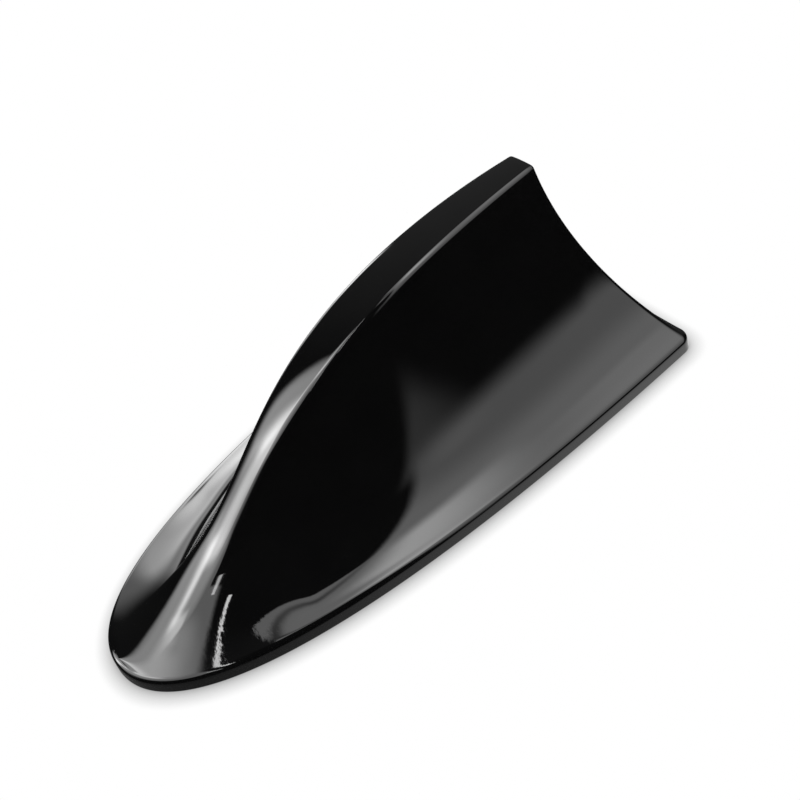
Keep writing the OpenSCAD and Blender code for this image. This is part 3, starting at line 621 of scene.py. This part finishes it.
# Finishes of the base, the seal and the pieces inside, one for each CAD node. The textures' scales
# are for coordinates in metres
BUMP_STRENGTH = 0.6
TONE_SCALE = 120.0
STREAK_SCALE = 500.0
PLATING_SCALE = 140.0
PLATING_DEPTH = 0.006 * MM
CELL_SCALE = 2200.0
CELL_DEPTH = 0.12 * MM
CELL_ROUGH = (0.85, 0.97)
TRACK_SCALE = 90.0
WEAVE_SCALE = 2600.0
WEAVE_SHARE = 0.25
TRACK_DEPTH = 0.02 * MM
MASK_ROUGH = (0.22, 0.36)
VARNISH_SCALE = 300.0
VARNISH_ROUGH = (0.2, 0.34)
TURN_DEPTH = 0.05 * MM


def object_noise(tree, scale, detail=3.0, stretch=(1, 1, 1)):
    place = add(tree, "ShaderNodeTexCoord").outputs["Object"]
    scaled = add(tree, "ShaderNodeMapping", {"Vector": place, "Scale": stretch})
    return add(tree, "ShaderNodeTexNoise", {
        "Vector": scaled.outputs[0], "Scale": scale, "Detail": detail}).outputs[0]


def two_tone(tree, amount, dark, light):
    return add(tree, "ShaderNodeMix", {0: amount, 6: (*dark, 1), 7: (*light, 1)},
               data_type="RGBA").outputs[2]


def shade(tree, colour, rough, height, depth, metallic=0.0, **sockets):
    """Ends a material: principled shader with a bump of that depth in metres."""
    bump = add(tree, "ShaderNodeBump", {
        "Strength": BUMP_STRENGTH, "Distance": depth, "Height": height})
    inputs = {"Base Color": colour, "Roughness": rough, "Metallic": metallic,
              "Normal": bump.outputs[0]}
    inputs.update({key.replace("_", " "): value for key, value in sockets.items()})
    shader = add(tree, "ShaderNodeBsdfPrincipled", inputs)
    add(tree, "ShaderNodeOutputMaterial", {"Surface": shader.outputs[0]})


def start(name):
    material = bpy.data.materials.new(name)
    return material, new_tree(material)


def moulded(name, dark, light, rough, grain=1600.0, depth=0.02 * MM, **sockets):
    """Plastic, rubber or ceramic: a fine grain under broad changes of tone."""
    material, tree = start(name)
    tone = object_noise(tree, TONE_SCALE)
    fine = object_noise(tree, grain)
    colour = two_tone(tree, tone, dark, light)
    shade(tree, colour, fade(tree, tone, *NOISE_RANGE, *rough), fine, depth, **sockets)
    return material


def plated(name, dark, light, rough, drawn=(1, 12, 12), **sockets):
    """Sheet or turned metal: streaks along the fin and soft clouds in the plating."""
    material, tree = start(name)
    streak = object_noise(tree, STREAK_SCALE, stretch=drawn)
    cloud = object_noise(tree, PLATING_SCALE)
    mixed = math_node(tree, "MULTIPLY", math_node(tree, "ADD", streak, cloud), 0.5)
    colour = two_tone(tree, mixed, dark, light)
    shade(tree, colour, fade(tree, mixed, *MIXED_RANGE, *rough), streak, PLATING_DEPTH,
          metallic=1.0, **sockets)
    return material


def foam(name, dark, light):
    """Foam: open cells about half a millimetre across, with painted shade in their hollows."""
    material, tree = start(name)
    place = add(tree, "ShaderNodeTexCoord").outputs["Object"]
    cells = add(tree, "ShaderNodeTexVoronoi", {"Vector": place, "Scale": CELL_SCALE})
    # The cells are the foam's own; their darkening toward the middle, where the bump sinks, is
    # painted shade
    colour = two_tone(tree, cells.outputs[0], dark, light)
    shade(tree, colour, fade(tree, cells.outputs[0], 0, 1, *CELL_ROUGH), cells.outputs[0],
          CELL_DEPTH)
    return material


def laminate(name, mask, lit_mask):
    """Circuit board: solder mask over copper tracks that show as paler bands."""
    material, tree = start(name)
    place = add(tree, "ShaderNodeTexCoord").outputs["Object"]
    tracks = add(tree, "ShaderNodeTexBrick", {
        "Vector": place, "Scale": TRACK_SCALE, "Mortar Size": 0.05, "Mortar Smooth": 0.2,
        "Brick Width": 0.9, "Row Height": 0.35,
    }, offset=0.37, squash=1.4, squash_frequency=3)
    weave = object_noise(tree, WEAVE_SCALE)
    tone = math_node(tree, "MULTIPLY_ADD", weave, WEAVE_SHARE, tracks.outputs["Fac"],
                     clamp=True)
    colour = two_tone(tree, tone, mask, lit_mask)
    shade(tree, colour, fade(tree, weave, *NOISE_RANGE, *MASK_ROUGH), tone, TRACK_DEPTH)
    return material


def enamelled(name, dark, light, wave_scale):
    """Varnished copper wire, wound or coiled, with the turns as ridges."""
    material, tree = start(name)
    place = add(tree, "ShaderNodeTexCoord").outputs["Object"]
    turns = add(tree, "ShaderNodeTexWave", {
        "Vector": place, "Scale": wave_scale, "Distortion": 0.4, "Detail": 1.0,
    }, bands_direction="Z")
    tone = object_noise(tree, VARNISH_SCALE)
    colour = two_tone(tree, tone, dark, light)
    shade(tree, colour, fade(tree, tone, *NOISE_RANGE, *VARNISH_ROUGH), turns.outputs["Fac"],
          TURN_DEPTH, metallic=0.9)
    return material


FINISHES = {
    "rim_seal": moulded("seal_rubber", (0.011, 0.011, 0.011), (0.02, 0.02, 0.019), (0.6, 0.75)),
    "cable_gland": moulded("gland_rubber", (0.013, 0.013, 0.012), (0.022, 0.022, 0.02),
                           (0.55, 0.7)),
    "base_plate": moulded("base_abs", (0.016, 0.016, 0.017), (0.028, 0.028, 0.029),
                          (0.42, 0.56), grain=2400.0, depth=0.04 * MM),
    "adhesive_tape": foam("tape_foam", (0.05, 0.05, 0.052), (0.13, 0.13, 0.132)),
    "foam_strip": foam("strip_foam", (0.03, 0.03, 0.032), (0.07, 0.07, 0.072)),
    "cover_screws": plated("zinc_plate", (0.42, 0.43, 0.46), (0.66, 0.67, 0.7), (0.26, 0.4)),
    "board_screws": plated("yellow_zinc", (0.5, 0.4, 0.18), (0.75, 0.64, 0.36), (0.26, 0.4)),
    "ground_plate": plated("tinned_sheet", (0.5, 0.5, 0.48), (0.72, 0.72, 0.7), (0.3, 0.46)),
    "shield_can": plated("can_sheet", (0.52, 0.52, 0.5), (0.76, 0.76, 0.74), (0.22, 0.36)),
    "capacity_plate": plated("plate_sheet", (0.55, 0.53, 0.48), (0.78, 0.76, 0.7), (0.26, 0.4)),
    "electrolytic_caps": plated("can_aluminium", (0.58, 0.59, 0.6), (0.82, 0.83, 0.84),
                                (0.2, 0.34), drawn=(1, 1, 14)),
    "lead_jack": plated("jack_gold", (0.62, 0.42, 0.14), (0.86, 0.66, 0.3), (0.16, 0.28)),
    "jack_pin": plated("pin_gold", (0.66, 0.46, 0.16), (0.88, 0.68, 0.32), (0.14, 0.24)),
    "power_pins": plated("pin_tin", (0.56, 0.55, 0.5), (0.76, 0.75, 0.68), (0.2, 0.34)),
    "feed_clip": plated("clip_bronze", (0.55, 0.35, 0.15), (0.78, 0.54, 0.28), (0.2, 0.34)),
    "main_board": laminate("board_laminate", (0.004, 0.05, 0.02), (0.012, 0.11, 0.045)),
    "aerial_board": laminate("mast_laminate", (0.004, 0.055, 0.024), (0.014, 0.12, 0.05)),
    "amplifier_chip": moulded("chip_epoxy", (0.012, 0.012, 0.012), (0.02, 0.02, 0.02),
                              (0.45, 0.6), grain=3000.0),
    "chip_capacitors": moulded("capacitor_ceramic", (0.3, 0.2, 0.11), (0.4, 0.28, 0.17),
                               (0.35, 0.5)),
    "choke_core": moulded("ferrite", (0.03, 0.03, 0.033), (0.055, 0.055, 0.06), (0.4, 0.55)),
    "power_socket": moulded("socket_nylon", (0.7, 0.67, 0.56), (0.82, 0.79, 0.68), (0.4, 0.5),
                            Subsurface_Weight=0.1),
    "coil_former": moulded("former_acetal", (0.74, 0.73, 0.68), (0.84, 0.83, 0.79),
                           (0.36, 0.46), Subsurface_Weight=0.1),
    "choke_winding": enamelled("choke_wire", (0.4, 0.15, 0.05), (0.6, 0.26, 0.1), 1900.0),
    "aerial_coil": enamelled("coil_wire", (0.55, 0.24, 0.1), (0.78, 0.4, 0.2), 400.0),
}
for node_name, finish in FINISHES.items():
    for material_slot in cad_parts[node_name].material_slots:
        material_slot.material = finish
